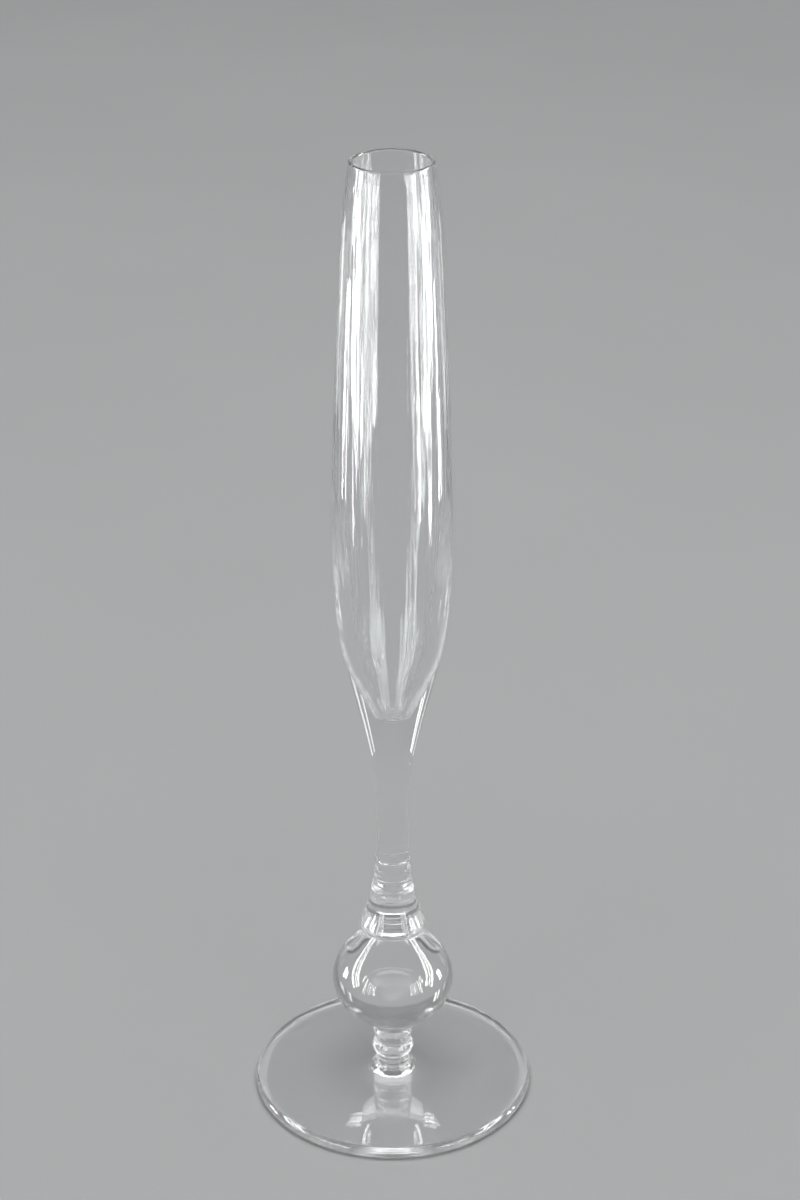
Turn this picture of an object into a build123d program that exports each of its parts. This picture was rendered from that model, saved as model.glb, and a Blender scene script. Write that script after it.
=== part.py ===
"""A tall stemmed flute in clear glass, as the six gathers of glass that it is built from.

Each gather is a body of revolution about Z. They are fused hot, face to face, on level seams:
foot, merese, ball knop, stem collar, stem and bowl. Millimetres, +Z up, and the origin is the
centre of the circle that the foot stands on.
"""

import os
from math import asin, degrees, sqrt

from build123d import *

os.makedirs("parts", exist_ok=True)

# Levels of the seams between the gathers, and of the rim
height = 300.0
bowl_seam = 120.0
stem_seam = 81.5
collar_seam = 56.4
ball_seam = 23.3
merese_seam = 10.3

# Foot: a disc with a rounded edge, a shallow hollow underneath and a mound in the middle
foot_radius = 43.3
foot_edge = 4.0
foot_hub = 4.9
edge_round = 1.9
rest_radius = 38.5
hollow_depth = 1.1
mound_radius = 7.7
mound_slope = 0.3

# Merese: two soft beads with a groove between them, on a narrow waist
waist_radius = 5.0
bead_radius = 6.5
bead_level = 12.7
groove_radius = 5.6
groove_level = 15.7
collet_radius = 6.1
collet_level = 18.3

# Ball knop: a slightly flattened ball, drawn up at the top into a shoulder
ball_radius = 18.7
ball_half_height = 15.9
ball_level = 38.4
ball_shoulder_level = 47.0
ball_top_radius = 8.0
ball_top_slope = 2.0

# Stem collar: a bell with a rounded lip and a nearly level underside
bell_lip_radius = 10.3
bell_lip_level = 57.7
bell_lip_round = 0.7
bell_shoulder_radius = 9.2
bell_shoulder_level = 61.0
bell_flank_radius = 7.35
bell_flank_level = 67.0
bell_throat_radius = 5.9
bell_throat_level = 74.0
collar_top_radius = 5.35
collar_shoulder = 0.5

# Stem: drawn down from the bowl to its thinnest point
stem_radius = 4.8
stem_waist_level = 92.0
stem_foot_radius = 4.9

# Bowl, outside
bowl_seam_radius = 7.2
bowl_seam_slope = 0.23
heel_radius = 9.95
heel_level = 132.0
hip_radius = 14.3
hip_level = 150.0
belly_radius = 17.35
belly_level = 191.0
neck_radius = 15.05
neck_level = 262.0
rim_radius = 11.95
rim_slope = -0.16
rim_round = 0.6

# Bowl, inside: a round-tipped cone over a thick base, and a wall that thins towards the rim
well_level = 131.2
well_radius = 3.4
well_rise = 1.6
cone_slope = 0.34
cone_radius = 6.2
cone_level = 141.3
cone_top_radius = 8.9
cone_top_level = 150.5
hollow_foot_radius = 10.8
hollow_foot_level = 163.0
hollow_radius = 15.1
hollow_level = 205.0
throat_radius = 13.6
throat_level = 262.0
lip_wall = 1.3


def ball_radius_at(level):
    """Radius of the ball knop's surface at a level below its shoulder."""
    return ball_radius * sqrt(1 - ((level - ball_level) / ball_half_height) ** 2)


def ball_angle_at(level):
    """Angle of that point along the ball knop's ellipse, in degrees."""
    return degrees(asin((level - ball_level) / ball_half_height))


def ball_slope_at(level):
    """Rise of the ball knop's surface for each millimetre outwards, at such a level."""
    squash = (ball_half_height / ball_radius) ** 2
    return -squash * ball_radius_at(level) / (level - ball_level)


with BuildPart() as foot:
    with BuildSketch(Plane.XZ):
        with BuildLine():
            # Underside: a shallow dome inside the flat ring that the foot stands on
            Spline(
                (0, hollow_depth),
                (rest_radius, 0),
                tangents=((1, 0), (rest_radius, -2 * hollow_depth)),
            )
            Line((rest_radius, 0), (foot_radius - edge_round, 0))
            RadiusArc(
                (foot_radius - edge_round, 0),
                (foot_radius, edge_round),
                -edge_round,
            )
            Line((foot_radius, edge_round), (foot_radius, foot_edge - edge_round))
            RadiusArc(
                (foot_radius, foot_edge - edge_round),
                (foot_radius - edge_round, foot_edge),
                -edge_round,
            )
            # Top: a gentle rise to the mound, which sweeps up to the merese
            Line((foot_radius - edge_round, foot_edge), (mound_radius, foot_hub))
            Spline(
                (mound_radius, foot_hub),
                (waist_radius, merese_seam),
                tangents=((-1, mound_slope), (0, 1)),
            )
            Line((waist_radius, merese_seam), (0, merese_seam))
            Line((0, merese_seam), (0, hollow_depth))
        make_face()
    revolve(axis=Axis.Z)

with BuildPart() as merese:
    ball_touch = ball_radius_at(ball_seam)
    with BuildSketch(Plane.XZ):
        with BuildLine():
            Line((0, merese_seam), (waist_radius, merese_seam))
            Spline(
                (waist_radius, merese_seam),
                (bead_radius, bead_level),
                (groove_radius, groove_level),
                (collet_radius, collet_level),
                (ball_touch, ball_seam),
                tangents=((1, 1), (0, 1)),
            )
            Line((ball_touch, ball_seam), (0, ball_seam))
            Line((0, ball_seam), (0, merese_seam))
        make_face()
    revolve(axis=Axis.Z)

with BuildPart() as ball_knop:
    ball_touch = ball_radius_at(ball_seam)
    ball_shoulder_radius = ball_radius_at(ball_shoulder_level)
    with BuildSketch(Plane.XZ):
        with BuildLine():
            Line((0, ball_seam), (ball_touch, ball_seam))
            EllipticalCenterArc(
                (0, ball_level),
                ball_radius,
                ball_half_height,
                start_angle=ball_angle_at(ball_seam),
                arc_size=ball_angle_at(ball_shoulder_level) - ball_angle_at(ball_seam),
            )
            Spline(
                (ball_shoulder_radius, ball_shoulder_level),
                (ball_top_radius, collar_seam),
                tangents=((-1, -ball_slope_at(ball_shoulder_level)), (-1, ball_top_slope)),
            )
            Line((ball_top_radius, collar_seam), (0, collar_seam))
            Line((0, collar_seam), (0, ball_seam))
        make_face()
    revolve(axis=Axis.Z)

with BuildPart() as stem_collar:
    with BuildSketch(Plane.XZ):
        with BuildLine():
            Line((0, collar_seam), (ball_top_radius, collar_seam))
            Line(
                (ball_top_radius, collar_seam),
                (bell_lip_radius - bell_lip_round, bell_lip_level - bell_lip_round),
            )
            RadiusArc(
                (bell_lip_radius - bell_lip_round, bell_lip_level - bell_lip_round),
                (bell_lip_radius, bell_lip_level),
                -bell_lip_round,
            )
            Spline(
                (bell_lip_radius, bell_lip_level),
                (bell_shoulder_radius, bell_shoulder_level),
                (bell_flank_radius, bell_flank_level),
                (bell_throat_radius, bell_throat_level),
                (collar_top_radius, stem_seam - collar_shoulder),
                tangents=((0, 1), (0, 1)),
            )
            Line(
                (collar_top_radius, stem_seam - collar_shoulder),
                (stem_foot_radius, stem_seam),
            )
            Line((stem_foot_radius, stem_seam), (0, stem_seam))
            Line((0, stem_seam), (0, collar_seam))
        make_face()
    revolve(axis=Axis.Z)

with BuildPart() as stem:
    with BuildSketch(Plane.XZ):
        with BuildLine():
            Line((0, stem_seam), (stem_foot_radius, stem_seam))
            Spline(
                (stem_foot_radius, stem_seam),
                (stem_radius, stem_waist_level),
                (bowl_seam_radius, bowl_seam),
                tangents=((0, 1), (bowl_seam_slope, 1)),
            )
            Line((bowl_seam_radius, bowl_seam), (0, bowl_seam))
            Line((0, bowl_seam), (0, stem_seam))
        make_face()
    revolve(axis=Axis.Z)

with BuildPart() as bowl:
    lip_level = height - rim_round
    lip_radius = rim_radius - lip_wall
    well_round = (well_radius**2 + well_rise**2) / (2 * well_rise)
    with BuildSketch(Plane.XZ):
        with BuildLine():
            Line((0, bowl_seam), (bowl_seam_radius, bowl_seam))
            Spline(
                (bowl_seam_radius, bowl_seam),
                (heel_radius, heel_level),
                (hip_radius, hip_level),
                (belly_radius, belly_level),
                (neck_radius, neck_level),
                (rim_radius, lip_level),
                tangents=((bowl_seam_slope, 1), (rim_slope, 1)),
            )
            ThreePointArc(
                (rim_radius, lip_level),
                (rim_radius - lip_wall / 2, height),
                (lip_radius, lip_level),
            )
            Spline(
                (lip_radius, lip_level),
                (throat_radius, throat_level),
                (hollow_radius, hollow_level),
                (hollow_foot_radius, hollow_foot_level),
                (cone_top_radius, cone_top_level),
                (cone_radius, cone_level),
                (well_radius, well_level + well_rise),
                tangents=((-rim_slope, -1), (-cone_slope, -1)),
            )
            RadiusArc(
                (well_radius, well_level + well_rise),
                (0, well_level),
                well_round,
            )
            Line((0, well_level), (0, bowl_seam))
        make_face()
    revolve(axis=Axis.Z)

foot.part.label = "foot"
merese.part.label = "merese"
ball_knop.part.label = "ball_knop"
stem_collar.part.label = "stem_collar"
stem.part.label = "stem"
bowl.part.label = "bowl"

export_step(foot.part, "parts/foot.step")
export_step(merese.part, "parts/merese.step")
export_step(ball_knop.part, "parts/ball_knop.step")
export_step(stem_collar.part, "parts/stem_collar.step")
export_step(stem.part, "parts/stem.step")
export_step(bowl.part, "parts/bowl.step")
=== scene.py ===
"""The looks of a tall stemmed flute in clear, hot-worked glass.

Each gather of glass is a lathe-turned mesh that stands for its CAD node. Where two gathers are
fused, both meshes have a level face that light passes straight through, so that the glass reads as
one solid while its pieces stay apart.
"""

from math import asin, cos, degrees, pi, radians, sin

import bpy
import numpy as np
from mathutils import Matrix, Vector


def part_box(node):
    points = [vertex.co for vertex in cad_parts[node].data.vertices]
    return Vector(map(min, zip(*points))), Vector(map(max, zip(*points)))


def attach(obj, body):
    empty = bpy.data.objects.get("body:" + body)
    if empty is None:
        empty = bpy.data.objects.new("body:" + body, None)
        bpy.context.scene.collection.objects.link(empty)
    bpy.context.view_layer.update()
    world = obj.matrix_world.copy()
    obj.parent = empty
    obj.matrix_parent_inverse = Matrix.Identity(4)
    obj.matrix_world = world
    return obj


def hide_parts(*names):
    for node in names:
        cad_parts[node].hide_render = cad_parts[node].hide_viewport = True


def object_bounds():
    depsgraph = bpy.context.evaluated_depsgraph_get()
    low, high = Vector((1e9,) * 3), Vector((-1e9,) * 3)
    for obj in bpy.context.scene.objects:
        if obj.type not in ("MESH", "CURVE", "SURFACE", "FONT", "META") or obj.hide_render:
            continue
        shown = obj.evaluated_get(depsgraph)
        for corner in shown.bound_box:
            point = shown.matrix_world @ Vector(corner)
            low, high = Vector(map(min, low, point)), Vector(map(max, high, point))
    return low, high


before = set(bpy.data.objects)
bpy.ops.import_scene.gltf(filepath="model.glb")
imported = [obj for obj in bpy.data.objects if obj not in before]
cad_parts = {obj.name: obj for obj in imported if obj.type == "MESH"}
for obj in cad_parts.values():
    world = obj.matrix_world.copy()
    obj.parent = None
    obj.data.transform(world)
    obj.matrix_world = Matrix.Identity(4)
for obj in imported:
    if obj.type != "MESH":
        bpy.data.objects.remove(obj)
cad_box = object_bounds()

MM = 0.001

# ---------------------------------------------------------------- sizes, from the frame


def low(node):
    """The level of a node's lowest point."""
    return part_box(node)[0].z


def high(node):
    """The level of a node's highest point."""
    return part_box(node)[1].z


def widest(node):
    """A node's greatest radius."""
    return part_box(node)[1].x


RIM = high("bowl")
BOWL_SEAM = low("bowl")
STEM_SEAM = low("stem")
COLLAR_SEAM = low("stem_collar")
BALL_SEAM = low("ball_knop")
MERESE_SEAM = low("merese")
FOOT_RADIUS = widest("foot")
BALL_RADIUS = widest("ball_knop")

# Sizes that two gathers share
WAIST = 5.0 * MM
BALL_TOP_RADIUS = 8.0 * MM
STEM_FOOT_RADIUS = 4.9 * MM
BOWL_SEAM_RADIUS = 7.2 * MM
BOWL_SEAM_SLOPE = 0.23

# The ball knop's ellipse, up to its shoulder
BALL_HALF_HEIGHT = 15.9 * MM
BALL_LEVEL = 38.4 * MM
BALL_SHOULDER = 47.0 * MM


def ball_angle_at(level):
    """Angle of a level along the ball knop's ellipse, in radians."""
    return asin((level - BALL_LEVEL) / BALL_HALF_HEIGHT)


def ball_radius_at(level):
    """Radius of the ball knop's surface at a level below its shoulder."""
    return BALL_RADIUS * cos(ball_angle_at(level))


# ---------------------------------------------------------------- outlines, as (radius, height)

# Distance between the rings of the mesh
WALL_STEP = 1.3 * MM
BALL_STEP = 0.5 * MM
FLANK_STEP = 0.3 * MM
EDGE_STEP = 0.25 * MM
BELL_STEP = 0.2 * MM
LIP_STEP = 0.12 * MM
SHOULDER_STEP = 0.1 * MM
UNDERSIDE_RINGS = 60
FEWEST_ARC_RUNS = 6
FEWEST_CURVE_RUNS = 2

# Faint rings around the collar's throat, each with its level and its height
RIDGES = (
    (69.8 * MM, 0.05 * MM),
    (71.6 * MM, 0.07 * MM),
    (73.5 * MM, 0.07 * MM),
    (77.5 * MM, 0.10 * MM),
)
RIDGE_WIDTH = 0.6 * MM

UPRIGHT = (0, 1)
DIAGONAL = (1, 1)


def line(a, b, step=WALL_STEP):
    """Points from a to b in a straight line."""
    a, b = np.array(a, float), np.array(b, float)
    count = max(1, round(float(np.linalg.norm(b - a)) / step))
    return a + (b - a) * np.linspace(0, 1, count + 1)[:, None]


def arc(centre, radius_x, radius_z, start, end, step=WALL_STEP):
    """Points along an ellipse from one angle to another, in degrees."""
    sweep = radians(abs(end - start)) * max(radius_x, radius_z)
    count = max(FEWEST_ARC_RUNS, round(sweep / step))
    angles = np.radians(np.linspace(start, end, count + 1))
    return np.c_[centre[0] + radius_x * np.cos(angles), centre[1] + radius_z * np.sin(angles)]


def curve(points, leaving, arriving, step=WALL_STEP):
    """A smooth curve through points, with its directions at both ends."""
    p = np.array(points, float)
    gaps = np.linalg.norm(np.diff(p, axis=0), axis=1)
    count = len(p)
    system = np.eye(count)
    sides = np.zeros((count, 2))
    sides[0] = np.array(leaving) / np.linalg.norm(leaving)
    sides[-1] = np.array(arriving) / np.linalg.norm(arriving)
    for i in range(1, count - 1):
        before, after = gaps[i - 1], gaps[i]
        system[i, i - 1 : i + 2] = 1 / before, 2 / before + 2 / after, 1 / after
        sides[i] = 3 * ((p[i] - p[i - 1]) / before**2 + (p[i + 1] - p[i]) / after**2)
    slopes = np.linalg.solve(system, sides)
    runs = []
    for i, gap in enumerate(gaps):
        steps = max(FEWEST_CURVE_RUNS, round(gap / step))
        t = np.linspace(0, 1, steps + 1)[:, None]
        run = (
            (2 * t**3 - 3 * t**2 + 1) * p[i]
            + (t**3 - 2 * t**2 + t) * gap * slopes[i]
            + (3 * t**2 - 2 * t**3) * p[i + 1]
            + (t**3 - t**2) * gap * slopes[i + 1]
        )
        runs.append(run)
    return joined(*runs)


def joined(*runs):
    """One outline from runs that meet end to end."""
    return np.vstack([runs[0]] + [run[1:] for run in runs[1:]])


def foot_outline():
    """A disc with a rounded edge, a shallow hollow underneath and a mound in the middle."""
    edge = 1.9 * MM
    thick = 4.0 * MM
    hub = 4.9 * MM
    hollow = 1.1 * MM
    rest = 38.5 * MM
    mound = 7.7 * MM
    mound_slope = 0.3
    reach = np.linspace(0, 1, UNDERSIDE_RINGS)[:, None]
    underside = np.hstack([rest * reach, hollow * (1 - reach**2)])
    top = [(mound, hub), (WAIST, MERESE_SEAM)]
    return joined(
        underside,
        line((rest, 0), (FOOT_RADIUS - edge, 0)),
        arc((FOOT_RADIUS - edge, edge), edge, edge, -90, 0, EDGE_STEP),
        line((FOOT_RADIUS, edge), (FOOT_RADIUS, thick - edge), EDGE_STEP),
        arc((FOOT_RADIUS - edge, thick - edge), edge, edge, 0, 90, EDGE_STEP),
        line((FOOT_RADIUS - edge, thick), (mound, hub)),
        curve(top, (-1, mound_slope), UPRIGHT, EDGE_STEP),
    )


def merese_outline():
    """Two soft beads with a groove between them."""
    bead = (6.5 * MM, 12.7 * MM)
    groove = (5.6 * MM, 15.7 * MM)
    collet = (6.1 * MM, 18.3 * MM)
    ball = (ball_radius_at(BALL_SEAM), BALL_SEAM)
    points = [(WAIST, MERESE_SEAM), bead, groove, collet, ball]
    return curve(points, DIAGONAL, UPRIGHT, FLANK_STEP)


def ball_outline():
    """A slightly flattened ball, drawn up at the top into a shoulder."""
    top_slope = 2
    start, end = ball_angle_at(BALL_SEAM), ball_angle_at(BALL_SHOULDER)
    leaving = (-BALL_RADIUS * sin(end), BALL_HALF_HEIGHT * cos(end))
    shoulder = [(ball_radius_at(BALL_SHOULDER), BALL_SHOULDER), (BALL_TOP_RADIUS, COLLAR_SEAM)]
    return joined(
        arc(
            (0, BALL_LEVEL),
            BALL_RADIUS,
            BALL_HALF_HEIGHT,
            degrees(start),
            degrees(end),
            BALL_STEP,
        ),
        curve(shoulder, leaving, (-1, top_slope), BALL_STEP),
    )


def with_ridges(outline):
    """An outline with the faint rings that shaping leaves around the collar's throat."""
    level = outline[:, 1]
    for ring, size in RIDGES:
        outline[:, 0] += size * np.exp(-(((level - ring) / RIDGE_WIDTH) ** 2))
    return outline


def collar_outline():
    """A bell with a rounded lip, and a small shoulder where the stem starts."""
    lip = 10.3 * MM
    lip_level = 57.7 * MM
    lip_round = 0.7 * MM
    bell_shoulder = (9.2 * MM, 61.0 * MM)
    flank = (7.35 * MM, 67.0 * MM)
    throat = (5.9 * MM, 74.0 * MM)
    top_shoulder = 0.5 * MM
    top = (5.35 * MM, STEM_SEAM - top_shoulder)
    under_lip = (lip - lip_round, lip_level - lip_round)
    points = [(lip, lip_level), bell_shoulder, flank, throat, top]
    bell = curve(points, UPRIGHT, UPRIGHT, FLANK_STEP)
    return joined(
        line((BALL_TOP_RADIUS, COLLAR_SEAM), under_lip, BELL_STEP),
        arc((lip - lip_round, lip_level), lip_round, lip_round, -90, 0, LIP_STEP),
        with_ridges(bell),
        line(top, (STEM_FOOT_RADIUS, STEM_SEAM), SHOULDER_STEP),
    )


def stem_outline():
    """A shank with its thinnest point a little above its lower end."""
    foot = (STEM_FOOT_RADIUS, STEM_SEAM)
    waist = (4.8 * MM, 92.0 * MM)
    top = (BOWL_SEAM_RADIUS, BOWL_SEAM)
    return curve([foot, waist, top], UPRIGHT, (BOWL_SEAM_SLOPE, 1))


def bowl_outline():
    """The outside, the rounded lip, the inside, and the round tip of the hollow."""
    rim = 11.95 * MM
    rim_round = 0.6 * MM
    wall = 1.3 * MM
    lip = RIM - rim_round
    rim_slope = 0.16
    heel = (9.95 * MM, 132.0 * MM)
    hip = (14.3 * MM, 150.0 * MM)
    belly = (17.35 * MM, 191.0 * MM)
    neck = (15.05 * MM, 262.0 * MM)
    throat = (13.6 * MM, 262.0 * MM)
    hollow = (15.1 * MM, 205.0 * MM)
    hollow_foot = (10.8 * MM, 163.0 * MM)
    cone_top = (8.9 * MM, 150.5 * MM)
    cone = (6.2 * MM, 141.3 * MM)
    cone_slope = 0.34
    well_level = 131.2 * MM
    well_radius = 3.4 * MM
    well_rise = 1.6 * MM
    well_round = (well_radius**2 + well_rise**2) / (2 * well_rise)
    well_edge = degrees(asin(well_radius / well_round))
    well_top = (well_radius, well_level + well_rise)
    outside = [(BOWL_SEAM_RADIUS, BOWL_SEAM), heel, hip, belly, neck, (rim, lip)]
    inside = [(rim - wall, lip), throat, hollow, hollow_foot, cone_top, cone, well_top]
    return joined(
        curve(outside, (BOWL_SEAM_SLOPE, 1), (-rim_slope, 1)),
        arc((rim - wall / 2, lip), wall / 2, RIM - lip, 0, 180, LIP_STEP),
        curve(inside, (rim_slope, -1), (-cone_slope, -1)),
        arc(
            (0, well_level + well_round),
            well_round,
            well_round,
            well_edge - 90,
            -90,
            FLANK_STEP,
        ),
    )


# ---------------------------------------------------------------- materials

GLASS_TINT = (0.965, 0.975, 0.975, 1)
GLASS_IOR = 1.52
# The rest is scattered, because light trapped in the wall would otherwise end as black lines
GLASS_CLEARNESS = 0.992
CORD_SCALE = (900, 900, 9)
CORD_BUMP = 0.006 * MM
WIPE_SCALE = 60.0
WIPE_START, WIPE_END = 0.55, 0.8
WIPE_ROUGHNESS = 0.012

FLOOR_DARK = (0.36, 0.362, 0.365, 1)
FLOOR_PALE = (0.40, 0.402, 0.405, 1)
FLOOR_CLOUD_SCALE = 3.0
FLOOR_ROUGHNESS = 0.7


def new_material(name):
    """A material with its node tree and its shader."""
    mat = bpy.data.materials.new(name)
    mat.use_nodes = True
    return mat, mat.node_tree, mat.node_tree.nodes["Principled BSDF"]


def node(tree, kind, **values):
    """A new node, with values for its properties or, failing that, its inputs."""
    made = tree.nodes.new(kind)
    for name, value in values.items():
        if hasattr(made, name):
            setattr(made, name, value)
        else:
            made.inputs[name].default_value = value
    return made


def ramp(tree, source, start, end, top):
    """A socket that is 0 where source is at start, and rises to top where it is at end."""
    made = node(tree, "ShaderNodeMapRange")
    made.inputs["From Min"].default_value = start
    made.inputs["From Max"].default_value = end
    made.inputs["To Min"].default_value = 0.0
    made.inputs["To Max"].default_value = top
    tree.links.new(source, made.inputs["Value"])
    return made.outputs["Result"]


def glass_material():
    """Clear colourless glass: drawn cords in the wall, and faint wipe marks."""
    mat, tree, shader = new_material("clear_glass")
    shader.inputs["Base Color"].default_value = GLASS_TINT
    shader.inputs["IOR"].default_value = GLASS_IOR
    shader.inputs["Transmission Weight"].default_value = GLASS_CLEARNESS
    place = node(tree, "ShaderNodeTexCoord")
    wall = node(tree, "ShaderNodeVectorMath", operation="MULTIPLY")
    wall.inputs[1].default_value = CORD_SCALE
    tree.links.new(place.outputs["Object"], wall.inputs[0])
    drawn = node(tree, "ShaderNodeTexNoise", Scale=1.0, Detail=3.0, Roughness=0.6)
    tree.links.new(wall.outputs[0], drawn.inputs["Vector"])
    bump = node(tree, "ShaderNodeBump", Strength=1.0, Distance=CORD_BUMP)
    tree.links.new(drawn.outputs[0], bump.inputs["Height"])
    tree.links.new(bump.outputs[0], shader.inputs["Normal"])
    wipes = node(tree, "ShaderNodeTexNoise", Scale=WIPE_SCALE, Detail=4.0, Roughness=0.6)
    tree.links.new(place.outputs["Object"], wipes.inputs["Vector"])
    haze = ramp(tree, wipes.outputs[0], WIPE_START, WIPE_END, WIPE_ROUGHNESS)
    tree.links.new(haze, shader.inputs["Roughness"])
    return mat


def seam_material():
    """The level face where two gathers are fused, which can't be seen inside the glass."""
    mat, _, shader = new_material("fused_seam")
    shader.inputs["Alpha"].default_value = 0.0
    return mat


def floor_material():
    """A matt pale floor, very slightly clouded."""
    mat, tree, shader = new_material("pale_floor")
    place = node(tree, "ShaderNodeTexCoord")
    cloud = node(tree, "ShaderNodeTexNoise", Scale=FLOOR_CLOUD_SCALE, Detail=4.0)
    tree.links.new(place.outputs["Object"], cloud.inputs["Vector"])
    tone = node(tree, "ShaderNodeValToRGB")
    tone.color_ramp.elements[0].color = FLOOR_DARK
    tone.color_ramp.elements[1].color = FLOOR_PALE
    tree.links.new(cloud.outputs[0], tone.inputs[0])
    tree.links.new(tone.outputs[0], shader.inputs["Base Color"])
    shader.inputs["Roughness"].default_value = FLOOR_ROUGHNESS
    shader.inputs["Specular IOR Level"].default_value = 0.0
    return mat


GLASS = glass_material()
SEAM = seam_material()

# ---------------------------------------------------------------- lathe

SEGMENTS = 288
# An outline's end within this radius is on the axis
AXIS_GAP = 1e-6

# Upright waves in the wall: their slope, how many go round, and how they sway with height
CORD_SLOPE = 0.0016
CORD_TURNS = (23, 37, 52, 71, 93)
CORD_TWIST = 9.0
CORD_SWAY = 2.0
CORD_SIZES = (0.5, 1.0)
# They fade out over CORD_FADE at both ends, and are faint up to CORD_START
CORD_FADE = 6 * MM
CORD_START = 140 * MM
CORD_RISE = 40 * MM
CORD_FAINT = 0.15


def eased(t):
    """0 to 1 with a soft start and a soft end."""
    t = np.clip(t, 0, 1)
    return t * t * (3 - 2 * t)


def cords(angle, radius, level, low_end, high_end, seed):
    """Fine upright waves that the drawing of hot glass leaves in a wall, none at the ends."""
    draw = np.random.default_rng(seed)
    fade = eased((level - low_end) / CORD_FADE) * eased((high_end - level) / CORD_FADE)
    fade = fade * (CORD_FAINT + (1 - CORD_FAINT) * eased((level - CORD_START) / CORD_RISE))
    waves = 0
    for turns in CORD_TURNS:
        phase, sway, lean = draw.uniform(0, 2 * pi, 3)
        drift = sway + CORD_SWAY * np.sin(CORD_TWIST * level + lean)
        size = draw.uniform(*CORD_SIZES) * CORD_TURNS[0] / turns
        waves = waves + size * np.cos(turns * angle + drift + phase)
    return CORD_SLOPE * radius * fade * waves


def lathe_faces(count):
    """Faces of a closed lathe mesh with count rings: a fan, a band for each gap, and a fan."""
    first = count * SEGMENTS
    last = first + 1
    top = first - SEGMENTS
    pairs = [(i, (i + 1) % SEGMENTS) for i in range(SEGMENTS)]
    faces = [(first, b, a) for a, b in pairs]
    for under in range(0, top, SEGMENTS):
        over = under + SEGMENTS
        faces += [(under + a, under + b, over + b, over + a) for a, b in pairs]
    faces += [(last, top + a, top + b) for a, b in pairs]
    return faces


def lathe_normals(grid):
    """Normals from the rings alone, so that a seam's level face doesn't tilt them."""
    around = np.roll(grid, -1, 1) - np.roll(grid, 1, 1)
    along = np.gradient(grid, axis=0)
    normal = np.cross(around, along)
    normal /= np.linalg.norm(normal, axis=-1, keepdims=True)
    return np.vstack([normal.reshape(-1, 3), [(0, 0, -1), (0, 0, 1)]])


def turned(name, outline, wave):
    """A closed lathe mesh, waved by wave(angle, radius, level).

    An end of the outline that isn't on the axis is closed by a fused seam.
    """
    angle = np.linspace(0, 2 * pi, SEGMENTS, endpoint=False)
    open_low, open_high = outline[0, 0] > AXIS_GAP, outline[-1, 0] > AXIS_GAP
    rings = outline[(0 if open_low else 1) : (None if open_high else -1)]
    radius = rings[:, 0][:, None] + np.zeros((1, SEGMENTS))
    radius = radius + wave(angle[None, :], radius, rings[:, 1][:, None])
    level = np.repeat(rings[:, 1][:, None], SEGMENTS, 1)
    grid = np.stack([radius * np.cos(angle), radius * np.sin(angle), level], -1)
    poles = [(0, 0, outline[0, 1]), (0, 0, outline[-1, 1])]
    verts = np.vstack([grid.reshape(-1, 3), poles])
    faces = lathe_faces(len(rings))
    wall_faces = len(faces) - 2 * SEGMENTS
    slots = [int(open_low)] * SEGMENTS + [0] * wall_faces + [int(open_high)] * SEGMENTS
    mesh = bpy.data.meshes.new(name)
    mesh.from_pydata(verts.tolist(), [], faces)
    mesh.materials.append(GLASS)
    mesh.materials.append(SEAM)
    mesh.polygons.foreach_set("material_index", slots)
    mesh.polygons.foreach_set("use_smooth", [True] * len(faces))
    mesh.validate()
    mesh.normals_split_custom_set_from_vertices(lathe_normals(grid).tolist())
    piece = bpy.data.objects.new(name, mesh)
    bpy.context.scene.collection.objects.link(piece)
    return piece


PIECES = {
    "foot": foot_outline(),
    "merese": merese_outline(),
    "ball_knop": ball_outline(),
    "stem_collar": collar_outline(),
    "stem": stem_outline(),
    "bowl": bowl_outline(),
}

for seed, (cad_node, outline) in enumerate(PIECES.items()):
    ends = outline[:, 1].min(), outline[:, 1].max()
    piece = turned(
        "clear_" + cad_node,
        outline,
        lambda angle, radius, level: cords(angle, radius, level, *ends, seed),
    )
    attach(piece, "root")
    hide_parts(cad_node)

# ---------------------------------------------------------------- studio, in metres

FLOOR_GAP = 0.1 * MM
FLOOR_FLAT = 2.2
FLOOR_BEND = 0.7
FLOOR_WALL = 0.6
FLOOR_SEGMENTS = 96
FLAT_STEP = 0.2
BEND_STEP = 0.1
RISE_STEP = 0.3

OVERHEAD_PLACE = (0, -0.3, 3.0)
OVERHEAD_SIZE = (3.5, 3.5)
OVERHEAD_POWER = 112
WORLD_TONE = (0.22, 0.222, 0.225, 1)

# Folds in a panel's diffuser: dark where the noise is below the start, brightest at the end
FOLD_START, FOLD_END = 0.50, 0.68
FOLD_PEAK = 2.4

# Soft panels to the right of the glass, each mirrored to its left. Light leaves a panel along
# facing, lean turns it in its own plane in degrees, and more folds are finer ones. Radiance is in
# watts per square metre and steradian.
PANELS = {
    "low_panel": dict(
        place=(0.40, -0.45, 0.15),
        facing=(-1, 0, 0),
        size=(0.34, 0.30),
        radiance=10.0,
        folds=16.0,
    ),
    "lean_strip": dict(
        place=(0.40, 0.09, 0.40),
        facing=(-1, 0, 0),
        lean=35,
        size=(0.14, 0.86),
        radiance=22.0,
        folds=9.0,
    ),
    "high_back": dict(
        place=(0.345, 0.60, 0.68),
        facing=(-0.345, -0.6, -0.64),
        size=(0.06, 0.3),
        radiance=12.0,
        folds=3.0,
    ),
    "side_strip": dict(
        place=(0.50, 0.10, 0.065),
        facing=(-0.50, -0.10, 0),
        size=(0.09, 0.13),
        radiance=45.0,
        folds=6.0,
    ),
    "low_back": dict(
        place=(0.44, 0.42, 0.06),
        facing=(-0.44, -0.42, 0),
        size=(0.22, 0.12),
        radiance=0.8,
        folds=5.0,
        through=True,
    ),
    "hook_strip": dict(
        place=(0.42, -0.24, 0.26),
        facing=(-0.42, 0.24, 0),
        size=(0.05, 0.16),
        radiance=10.0,
        folds=3.0,
    ),
}


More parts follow.
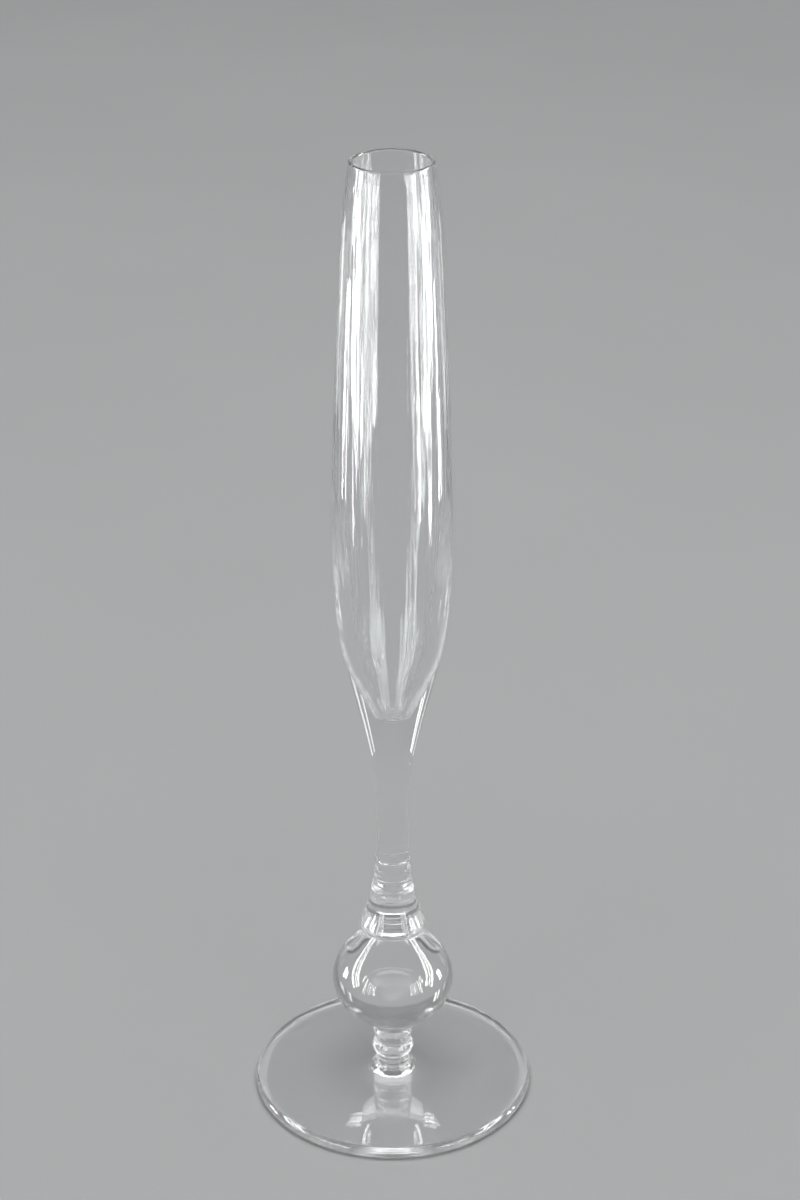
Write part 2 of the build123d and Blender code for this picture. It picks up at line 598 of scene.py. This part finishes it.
def studio_floor():
    """A pale floor that curves up into a low wall all round."""
    edge = FLOOR_FLAT + FLOOR_BEND
    outline = joined(
        line((0, 0), (FLOOR_FLAT, 0), FLAT_STEP),
        arc((FLOOR_FLAT, FLOOR_BEND), FLOOR_BEND, FLOOR_BEND, -90, 0, BEND_STEP),
        line((edge, FLOOR_BEND), (edge, FLOOR_BEND + FLOOR_WALL), RISE_STEP),
    )
    angle = np.linspace(0, 2 * pi, FLOOR_SEGMENTS, endpoint=False)
    pairs = [(i, (i + 1) % FLOOR_SEGMENTS) for i in range(FLOOR_SEGMENTS)]
    verts = [(0, 0, 0)]
    for r, z in outline[1:]:
        verts += [(r * cos(t), r * sin(t), z) for t in angle]
    faces = [(0, 1 + i, 1 + j) for i, j in pairs]
    for inner in range(1, len(verts) - FLOOR_SEGMENTS, FLOOR_SEGMENTS):
        outer = inner + FLOOR_SEGMENTS
        faces += [(inner + i, outer + i, outer + j, inner + j) for i, j in pairs]
    mesh = bpy.data.meshes.new("studio_floor")
    mesh.from_pydata(verts, [], faces)
    mesh.materials.append(floor_material())
    mesh.polygons.foreach_set("use_smooth", [True] * len(faces))
    floor = bpy.data.objects.new("studio_floor", mesh)
    bpy.context.scene.collection.objects.link(floor)
    floor.location.z = -FLOOR_GAP


def area_light(name, place, size, power):
    """A soft rectangular light, facing down, that the camera doesn't see."""
    lamp = bpy.data.lights.new(name, "AREA")
    lamp.shape = "RECTANGLE"
    lamp.size, lamp.size_y = size
    lamp.energy = power
    made = bpy.data.objects.new(name, lamp)
    made.location = place
    made.visible_camera = False
    bpy.context.scene.collection.objects.link(made)
    return made


def overhead_light():
    """The light of the room, which casts soft shadows and leaves no reflection."""
    made = area_light("overhead_soft", OVERHEAD_PLACE, OVERHEAD_SIZE, OVERHEAD_POWER)
    made.rotation_euler = (-Vector(OVERHEAD_PLACE)).to_track_quat("-Z", "Y").to_euler()
    made.visible_glossy = False


def turned_panel(facing, lean):
    """The rotation of a panel that faces along facing, with its height leant over in degrees."""
    out = -Vector(facing).normalized()
    level = Vector((0, 0, 1)).cross(out).normalized()
    upright = out.cross(level)
    tall = upright * cos(radians(lean)) + level * sin(radians(lean))
    return Matrix((tall.cross(out), tall, out)).transposed().to_euler()


def maths(tree, operation, first, second):
    """The result of a Math node on a socket and a socket or number."""
    made = node(tree, "ShaderNodeMath", operation=operation)
    tree.links.new(first, made.inputs[0])
    if isinstance(second, float):
        made.inputs[1].default_value = second
    else:
        tree.links.new(second, made.inputs[1])
    return made.outputs[0]


def gloss_panel(name, side, place, facing, size, radiance, folds, lean=0, through=False):
    """A soft panel near the glass that shows in it only, and doesn't light the floor.

    It shows as a reflection, and with through also as a bright shape behind the glass.
    """
    width, height = size
    place = (side * place[0], place[1], place[2])
    facing = (side * facing[0], facing[1], facing[2])
    made = area_light(name, place, size, radiance * pi * width * height)
    made.rotation_euler = turned_panel(facing, side * lean)
    made.visible_diffuse = False
    made.data.use_nodes = True
    tree = made.data.node_tree
    # depths are whole numbers, so a half parts none from one
    path = node(tree, "ShaderNodeLightPath")
    clear = maths(tree, "LESS_THAN", path.outputs["Diffuse Depth"], 0.5)
    mirrored = maths(tree, "GREATER_THAN", path.outputs["Glossy Depth"], -0.5 if through else 0.5)
    # bright folds in the diffuser, which hang straight down
    spot = node(tree, "ShaderNodeNewGeometry")
    across = node(tree, "ShaderNodeSeparateXYZ")
    tree.links.new(spot.outputs["Parametric"], across.inputs[0])
    cloth = node(tree, "ShaderNodeTexNoise", noise_dimensions="1D", Scale=folds, Detail=2.0)
    tree.links.new(across.outputs["X"], cloth.inputs["W"])
    tone = ramp(tree, cloth.outputs[0], FOLD_START, FOLD_END, FOLD_PEAK)
    shown = maths(tree, "MULTIPLY", maths(tree, "MULTIPLY", clear, mirrored), tone)
    tree.links.new(shown, tree.nodes["Emission"].inputs["Strength"])


studio_floor()
overhead_light()
for side in (-1, 1):
    for name, panel in PANELS.items():
        gloss_panel(f"{name}_{side}", side, **panel)

world = bpy.data.worlds.new("studio")
world.use_nodes = True
world.node_tree.nodes["Background"].inputs["Color"].default_value = WORLD_TONE
world.node_tree.nodes["Background"].inputs["Strength"].default_value = 1.0
bpy.context.scene.world = world

# ---------------------------------------------------------------- camera

HEIGHT = cad_box[1].z
DISTANCE = 2.372 * HEIGHT
CAMERA_LEVEL = 1.701 * HEIGHT
CAMERA_DIP = 25.68
CAMERA_TURN = -0.18
CAMERA_LENS = 81.3
LIGHT_BOUNCES = 128

camera_data = bpy.data.cameras.new("camera")
camera_data.sensor_width = 36.0
camera_data.lens = CAMERA_LENS
camera_data.clip_start = 0.01
camera = bpy.data.objects.new("camera", camera_data)
camera.location = (0, -DISTANCE, CAMERA_LEVEL)
camera.rotation_euler = (radians(90 - CAMERA_DIP), 0, radians(CAMERA_TURN))
bpy.context.scene.collection.objects.link(camera)
bpy.context.scene.camera = camera

scene = bpy.context.scene
scene.view_settings.view_transform = "Standard"
scene.cycles.max_bounces = LIGHT_BOUNCES
scene.cycles.transmission_bounces = LIGHT_BOUNCES
scene.cycles.glossy_bounces = LIGHT_BOUNCES
scene.cycles.transparent_max_bounces = LIGHT_BOUNCES
scene.cycles.blur_glossy = 0.0
